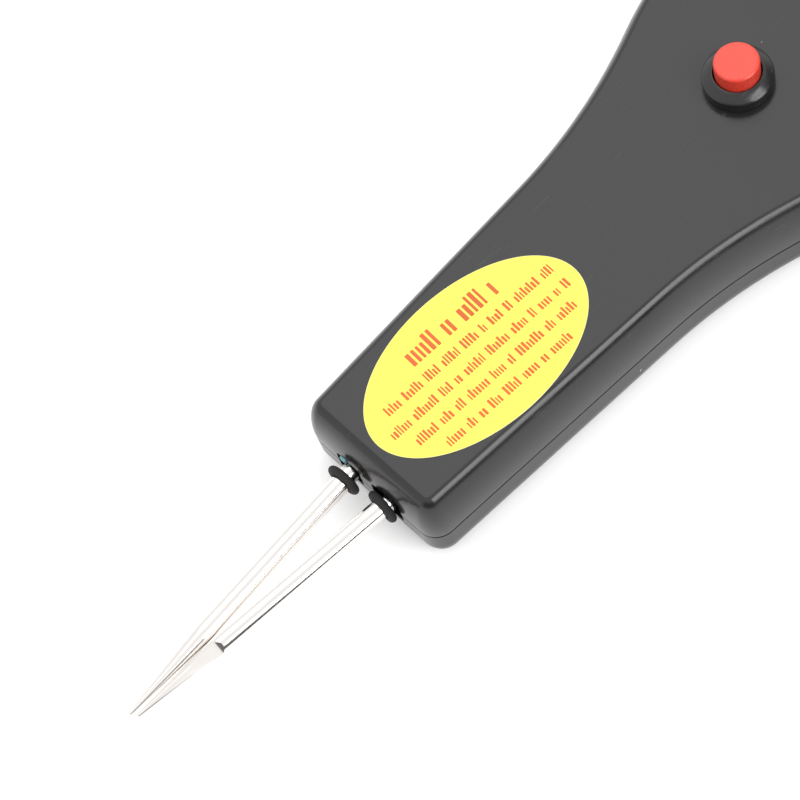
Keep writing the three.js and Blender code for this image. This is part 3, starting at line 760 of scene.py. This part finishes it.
@dataclass(frozen=True)
class Row:
    """One row of printed marks, in the label's own frame."""

    start: float
    end: float
    y: float
    height: float
    mark: float


@dataclass(frozen=True)
class Label:
    """The oval label, printed with plain marks that stand for nothing."""

    housing: Housing = Housing()
    length: float = 50.0
    width: float = 30.0
    turn: float = -0.05
    thickness: float = 0.15
    ink: float = 0.02
    rows: tuple[Row, ...] = (
        Row(-9.6, 12.2, 8.7, 4.3, 2.3),
        Row(-19.6, 22.0, 3.4, 2.2, 1.35),
        Row(-22.0, 23.4, -1.0, 2.2, 1.35),
        Row(-19.4, 20.0, -5.2, 2.2, 1.35),
        Row(-15.6, 15.0, -9.4, 2.2, 1.35),
    )

    def frame(self) -> Matrix:
        """The label's own frame in the tool's frame, with z at its underside."""
        low, high = mm_box("label")
        middle = (low + high) / 2
        return Matrix.Translation((middle.x, middle.y, low.z)) @ Matrix.Rotation(self.turn, 4, "Z")

    def lay(self, mesh: bmesh.types.BMesh) -> None:
        """Lower each corner on to the rounded edge of the housing."""
        for corner in mesh.verts:
            corner.co.z -= self.housing.fall(corner.co.x, corner.co.y)

    def build(self) -> list[bpy.types.Object]:
        """The label's film and its print."""
        return [self.film(), self.print()]

    def film(self) -> bpy.types.Object:
        """The oval film, with its pale cut edge."""
        mesh = bmesh.new()
        shape = Matrix.Diagonal((self.length / 2 - 0.02, self.width / 2 - 0.02, 1.0, 1.0))
        bmesh.ops.create_circle(mesh, cap_ends=True, segments=160, radius=1.0, matrix=shape)
        flat = list(mesh.faces)
        lifted = bmesh.ops.extrude_face_region(mesh, geom=flat)["geom"]
        top = next(item for item in lifted if isinstance(item, bmesh.types.BMFace))
        bmesh.ops.translate(mesh, verts=top.verts, vec=(0.0, 0.0, self.thickness - self.ink))
        bmesh.ops.inset_region(mesh, faces=[top], thickness=0.05, use_even_offset=True, use_boundary=True)
        for face in mesh.faces:
            face.material_index = 0 if face is top else 1
        for _ in range(8):
            bmesh.ops.inset_region(mesh, faces=[top], thickness=0.8, use_even_offset=True, use_boundary=True)
        bmesh.ops.transform(mesh, matrix=self.frame(), verts=mesh.verts)
        self.lay(mesh)
        film = loose(mesh, "label_film")
        film.data.materials.append(VINYL.material())
        film.data.materials.append(PAPER.material())
        return finished(film, "housing", VINYL, ["label"])

    def print(self) -> bpy.types.Object:
        """The rows of marks, as words of short strokes of three heights."""
        draw = random.Random(11)
        mesh = bmesh.new()
        for row in self.rows:
            x = row.start
            left_in_word = draw.randint(3, 7)
            while x < row.end:
                width = row.mark * draw.uniform(0.22, 0.42)
                tall = row.height * draw.choice((1.0, 0.72, 0.72))
                self.mark(mesh, x, min(width, row.end - x), row, tall)
                x += width + row.mark * 0.2
                left_in_word -= 1
                if left_in_word == 0:
                    x += row.mark * 0.7
                    left_in_word = draw.randint(2, 8)
        bmesh.ops.transform(mesh, matrix=self.frame(), verts=mesh.verts)
        self.lay(mesh)
        return finished(loose(mesh, "label_print"), "housing", INK, [])

    def mark(self, mesh: bmesh.types.BMesh, x: float, width: float, row: Row, tall: float) -> None:
        """Add one stroke to the print.

        Args:
            mesh: the print.
            x: where the stroke starts.
            width: its width.
            row: the row that it is in.
            tall: its height.
        """
        low = self.thickness - self.ink - 0.01
        place = Matrix.Translation((x + width / 2, row.y + (tall - row.height) / 2, low + self.ink / 2))
        size = Matrix.Diagonal((max(width, 0.2), tall, self.ink, 1.0))
        made = bmesh.ops.create_cube(mesh, size=1.0, matrix=place @ size)["verts"]
        uprights = {e for v in made for e in v.link_edges
                    if abs(e.verts[0].co.z - e.verts[1].co.z) > self.ink / 2}
        bevelled(mesh, uprights, 0.16, 2)


# ---- Push switch ----


@dataclass(frozen=True)
class PushSwitch:
    """The round push switch: a black bezel with a red cap."""

    barrel: float = 5.9
    flange: float = 7.0
    flange_z: float = 20.4
    base_z: float = 9.4
    floor_z: float = 11.4
    cap: float = 4.47
    room: float = 0.3
    wall_rise: float = 2.2
    crown: Point = (0.35, 2.54)
    crease: Point = (5.6, 3.29)
    lip_rise: float = 3.62
    stem: Point = (3.3, 2.0)
    rim_round: float = 0.6
    rim_drop: float = 0.62

    def placed(self, mesh: bmesh.types.BMesh, name: str) -> bpy.types.Object:
        """Move a spun part onto the switch's axis."""
        low, high = mm_box("switch_housing")
        middle = (low + high) / 2
        bmesh.ops.translate(mesh, verts=mesh.verts, vec=(middle.x, middle.y, 0.0))
        return loose(mesh, name)

    def build(self) -> list[bpy.types.Object]:
        """The bezel and the cap."""
        return [self.bezel(), self.button()]

    def bezel(self) -> bpy.types.Object:
        """The switch's body with its raised ring."""
        z = self.flange_z
        inner = self.cap + self.room
        outer = self.flange - 0.01
        profile = [
            (0.0, self.base_z),
            (self.barrel, self.base_z),
            (self.barrel, z),
            (outer, z),
            (outer, z + self.wall_rise),
            (outer - self.crown[0], z + self.crown[1]),
            (self.crease[0], z + self.crease[1]),
            (inner, z + self.lip_rise),
            (inner, self.floor_z),
            (0.0, self.floor_z),
        ]
        ring = self.placed(spun(profile, 112, 0.12), "switch_bezel")
        return finished(ring, "housing", BEZEL, ["switch_housing"], 40.0)

    def button(self) -> bpy.types.Object:
        """The red cap, with an eased rim and a faint dish."""
        low, high = mm_box("switch_cap")
        rim = self.cap - 0.01
        stem, stem_rise = self.stem
        shoulder = high.z - self.rim_drop
        dish = [(rim - 1.1, 0.05), (2.0, 0.11), (0.0, 0.13)]
        profile = [
            (0.0, low.z + stem_rise),
            (stem, low.z + stem_rise),
            (stem, low.z),
            (rim, low.z),
            (rim, shoulder),
            *[(rim - self.rim_round + self.rim_round * math.cos(a), shoulder + self.rim_round * math.sin(a))
              for a in (math.radians(angle) for angle in range(15, 91, 15))],
            *[(radius, high.z - drop) for radius, drop in dish],
        ]
        cap = self.placed(spun(profile, 112), "button_cap")
        return finished(cap, "button", CAP, ["switch_cap"], 40.0)


# ---- Needles ----


@dataclass(frozen=True)
class Needle:
    """One needle with its rubber ring, in the frame of its arm."""

    side: str
    flip: int
    toe: float
    ground: bool
    radius: float = 2.0
    tip: float = 0.42
    taper: float = 19.9
    axis_z: float = 9.3
    butt: float = 6.1
    flat_turn: float = -30.0
    flat_root: float = 0.35
    ring_section: float = 0.795
    ring_middle: float = 2.88
    ring_ridge: float = 0.0045

    def pivot(self) -> Vector:
        """The middle of the arm's pivot pin."""
        low, high = mm_box(f"pivot_pin_{self.side}")
        return Vector(((low.x + high.x) / 2, (low.y + high.y) / 2, self.axis_z))

    def into_tool(self) -> Matrix:
        """From the needle's own frame, along -x from its pivot, into the tool's frame."""
        flip = Matrix.Diagonal((1.0, self.flip, 1.0, 1.0))
        turn = Matrix.Rotation(math.radians(self.toe), 4, "Z")
        return Matrix.Translation(self.pivot()) @ flip @ turn

    def reach(self) -> float:
        """How far the point lies ahead of the pivot."""
        toe = math.radians(self.toe)
        ahead = self.pivot().x - mm_box(f"needle_{self.side}")[0].x
        return (ahead - self.tip * math.sin(toe)) / math.cos(toe)

    def along_x(self, mesh: bmesh.types.BMesh) -> None:
        """Lay an upright spun shape along -x."""
        quarter = Matrix.Rotation(-math.pi / 2, 3, "Y")
        bmesh.ops.rotate(mesh, verts=mesh.verts, cent=(0, 0, 0), matrix=quarter)

    def build(self) -> list[bpy.types.Object]:
        """The needle and its ring."""
        return [self.rod(), self.ring()]

    def rod(self) -> bpy.types.Object:
        """The rod with its tapered point, and the ground flat where there is one."""
        reach = self.reach()
        nose = [(self.tip * math.cos(a), reach - self.tip + self.tip * math.sin(a))
                for a in (math.radians(angle) for angle in range(10, 90, 16))]
        start = reach - self.taper
        blend = [(self.radius, start - 0.9), (self.radius - 0.012, start), (self.radius - 0.075, start + 0.9)]
        profile = [(0.0, self.butt), (self.radius - 0.3, self.butt), (self.radius, self.butt + 0.3),
                   *blend, *nose, (0.0, reach)]
        mesh = spun(profile, 72)
        self.along_x(mesh)
        rod = loose(mesh, f"needle_rod_{self.side}")
        if self.ground:
            carve(rod, self.grinding_wheel(reach))
        rod.data.transform(self.into_tool())
        if self.flip < 0:
            rod.data.flip_normals()
        return finished(rod, f"{self.side}_arm", POLISHED, [f"needle_{self.side}"], 24.0)

    def grinding_wheel(self, reach: float) -> bpy.types.Object:
        """The tool that grinds the flat and leaves its leaning, hollow step.

        Args:
            reach: how far the point lies ahead of the pivot.

        Returns:
            The tool, in the needle's frame.
        """
        step, fade, height, fade_height, lean, clear = 19.2, 10.0, 1.36, 1.2, 1.6, 3.0
        corners = [
            (-(reach - step), height),
            (-(reach - step) + (clear - height) * lean, clear),
            (-(reach - fade), clear),
            (-(reach - fade), fade_height),
        ]
        mesh = bmesh.new()
        face = mesh.faces.new([mesh.verts.new((x, -clear, z)) for x, z in corners])
        lifted = bmesh.ops.extrude_face_region(mesh, geom=[face])["geom"]
        bmesh.ops.translate(mesh, verts=[v for v in lifted if isinstance(v, bmesh.types.BMVert)],
                            vec=(0.0, 2 * clear, 0.0))
        root = [e for e in mesh.edges if all(abs(v.co.z - height) < 1e-4 for v in e.verts)]
        bevelled(mesh, root, self.flat_root, 4)
        turn = Matrix.Rotation(math.radians(self.flat_turn), 3, "X")
        bmesh.ops.rotate(mesh, verts=mesh.verts, cent=(0, 0, 0), matrix=turn)
        return loose(mesh, "grinding_wheel")

    def ring(self) -> bpy.types.Object:
        """The rubber ring, with the fine ridge of its mould."""
        low, high = mm_box(f"o_ring_{self.side}")
        ahead = (self.pivot().x - (low.x + high.x) / 2) / math.cos(math.radians(self.toe))
        section, middle = self.ring_section, self.ring_middle
        profile = [(middle + section * math.cos(a), ahead + section * math.sin(a))
                   for a in (2 * math.pi * step / 28 for step in range(28))]
        profile[0] = (middle + section + self.ring_ridge, ahead)
        mesh = spun([*profile, profile[0]], 96)
        self.along_x(mesh)
        bmesh.ops.transform(mesh, matrix=self.into_tool(), verts=mesh.verts)
        ring = loose(mesh, f"rubber_ring_{self.side}")
        return finished(ring, f"{self.side}_arm", RUBBER, [f"o_ring_{self.side}"], 60.0)


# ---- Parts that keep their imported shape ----


@dataclass(frozen=True)
class PackedParts:
    """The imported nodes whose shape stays, each with its finish."""

    finishes: tuple[tuple[str, Finish], ...] = (
        ("battery_cover", HOUSING),
        ("cover_pin", POLISHED),
        ("shell_screw", DARK_STEEL),
        ("clamp_screw", DARK_STEEL),
        ("pivot_pin", POLISHED),
        ("pinion_shaft", POLISHED),
        ("switch_spring", POLISHED),
        ("needle_arm", ALLOY),
        ("drive_pinion", NYLON),
        ("motor_end_cap", NYLON),
        ("gearbox_housing", COMPONENT),
        ("driver_chip", COMPONENT),
        ("capacitor", SLEEVE),
        ("motor_can", NICKEL),
        ("motor_terminal", BRASS),
        ("switch_terminal", BRASS),
        ("switch_nut", NICKEL),
        ("contact_spring", NICKEL),
        ("contact_plate", NICKEL),
    )

    def dress(self) -> None:
        """Give every shown node its finish."""
        board = BoardFinish()
        for name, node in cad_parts.items():
            if node.hide_render:
                continue
            if name == "circuit_board":
                self.paint(node, board.material())
            elif name.startswith("cell_"):
                self.paint(node, self.cell_finish(name).material())
            else:
                chosen = next((finish for start, finish in self.finishes if name.startswith(start)), None)
                if chosen is None:
                    LOG.info("%s has no finish of its own", name)
                    continue
                self.paint(node, chosen.material())

    def cell_finish(self, name: str) -> CellFinish:
        """The sleeve of one cell; odd cells face the tail."""
        low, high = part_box(name)
        facing = 1 if int(name.split("_")[-1]) % 2 else -1
        return CellFinish(f"sleeve_{name}", float(low[0]), float(high[0]), facing)

    def paint(self, node: bpy.types.Object, material: bpy.types.Material) -> None:
        """Put one material on a node."""
        node.data.materials.clear()
        node.data.materials.append(material)
        LOG.info("%s: %s", node.name, material.name)


@dataclass(frozen=True)
class SlotPad:
    """The soft pad under the top of the plain needle's slot."""

    ease: float = 0.12

    def build(self) -> bpy.types.Object:
        """The pad, with rounded edges."""
        low, high = mm_box("slot_pad")
        pad = loose(round_block(low, high, self.ease), "slot_pad_soft")
        return finished(pad, "housing", SILICONE, ["slot_pad"])


# ---- Stage ----


@dataclass(frozen=True)
class Softbox:
    """A square area light that points at the tool."""

    name: str
    place: Colour
    size: float
    power: float

    def build(self) -> None:
        """Make the light and aim it at the neck of the tool."""
        lamp = bpy.data.lights.new(self.name, "AREA")
        lamp.size = self.size
        lamp.energy = self.power
        holder = bpy.data.objects.new(self.name, lamp)
        holder.location = self.place
        holder.rotation_euler = (-Vector(self.place)).to_track_quat("-Z", "Y").to_euler()
        bpy.context.scene.collection.objects.link(holder)


@dataclass(frozen=True)
class Camera:
    """The camera: where it looks from, how it is rolled, and its lens."""

    azimuth: float = -23.304
    elevation: float = 62.997
    roll: float = -23.145
    distance: float = 461.747
    aim: Point = (14.029, 3.462)
    aim_z: float = 20.3
    lens: float = 112.46
    sensor: float = 36.0
    clip: float = 0.01

    def build(self) -> None:
        """Make the camera and use it."""
        turn, lift, roll = (math.radians(v) for v in (self.azimuth, self.elevation, self.roll))
        back = Vector((math.sin(turn) * math.cos(lift), -math.cos(turn) * math.cos(lift), math.sin(lift)))
        level = Vector((0.0, 0.0, 1.0)).cross(back).normalized()
        upright = back.cross(level)
        right = math.cos(roll) * level + math.sin(roll) * upright
        up = math.cos(roll) * upright - math.sin(roll) * level
        place = TO_ROW @ (Vector((*self.aim, self.aim_z)) + back * self.distance)
        data = bpy.data.cameras.new("camera")
        data.lens = self.lens
        data.sensor_width = self.sensor
        data.clip_start = self.clip
        holder = bpy.data.objects.new("camera", data)
        turned = Matrix((right, up, back)).transposed().to_4x4()
        holder.matrix_world = Matrix.Translation(place) @ turned
        bpy.context.scene.collection.objects.link(holder)
        bpy.context.scene.camera = holder


@dataclass(frozen=True)
class Studio:
    """The pale floor, the soft lights and the sky light."""

    floor_half: float = 3.0
    zenith: float = 1.1
    horizon: float = 0.12
    floor_tone: float = 0.9
    floor_glow: float = 0.25
    lights: tuple[Softbox, ...] = (
        Softbox("key_light", (0.2, -0.8, 0.6), 0.6, 6.0),
        Softbox("top_light", (0.2, 0.5, 1.15), 0.9, 2.4),
    )

    def build(self) -> None:
        """Make the floor, the lights and the sky."""
        self.build_floor()
        for light in self.lights:
            light.build()
        self.build_sky()
        bpy.context.scene.view_settings.view_transform = "Standard"

    def build_floor(self) -> None:
        """Make the pale floor."""
        mesh = bmesh.new()
        bmesh.ops.create_grid(mesh, x_segments=1, y_segments=1, size=self.floor_half)
        data = bpy.data.meshes.new("floor")
        mesh.to_mesh(data)
        mesh.free()
        floor = bpy.data.objects.new("floor", data)
        bpy.context.scene.collection.objects.link(floor)
        graph = Graph("pale_floor")
        data.materials.append(graph.close({
            "Base Color": (self.floor_tone, self.floor_tone, self.floor_tone, 1.0),
            "Roughness": 0.8,
            "Emission Color": (1.0, 1.0, 1.0, 1.0),
            "Emission Strength": self.floor_glow,
        }))

    def build_sky(self) -> None:
        """Make a bright sky that darkens low on one side of the tool."""
        world = bpy.data.worlds.new("studio")
        world.use_nodes = True
        sky = Graph("sky")
        bpy.data.materials.remove(sky.material)
        sky.tree = world.node_tree
        sky.tree.nodes.clear()
        direction = sky.node("ShaderNodeTexCoord", {}, {}).outputs["Generated"]
        parts = sky.node("ShaderNodeSeparateXYZ", {}, {0: direction}).outputs
        low = Field(sky, parts[2]).rise(0.72, 0.4)
        right_side = Field(sky, parts[1]).rise(0.25, -0.35)
        strength = self.zenith - low * right_side * (self.zenith - self.horizon)
        inputs = {"Color": (1.0, 1.0, 1.0, 1.0), "Strength": strength}
        background = sky.node("ShaderNodeBackground", {}, inputs)
        sky.node("ShaderNodeOutputWorld", {}, {"Surface": background.outputs[0]})
        bpy.context.scene.world = world


def main() -> None:
    """Build every piece of the tool and the studio."""
    logging.basicConfig(level=logging.INFO, format="%(name)s: %(message)s")
    housing = Housing()
    housing.build_upper()
    housing.build_lower()
    Label().build()
    PushSwitch().build()
    SlotPad().build()
    Needle("left", 1, 3.65, False).build()
    Needle("right", -1, 4.2, True).build()
    PackedParts().dress()
    Camera().build()
    Studio().build()


if __name__ == "__main__":
    main()
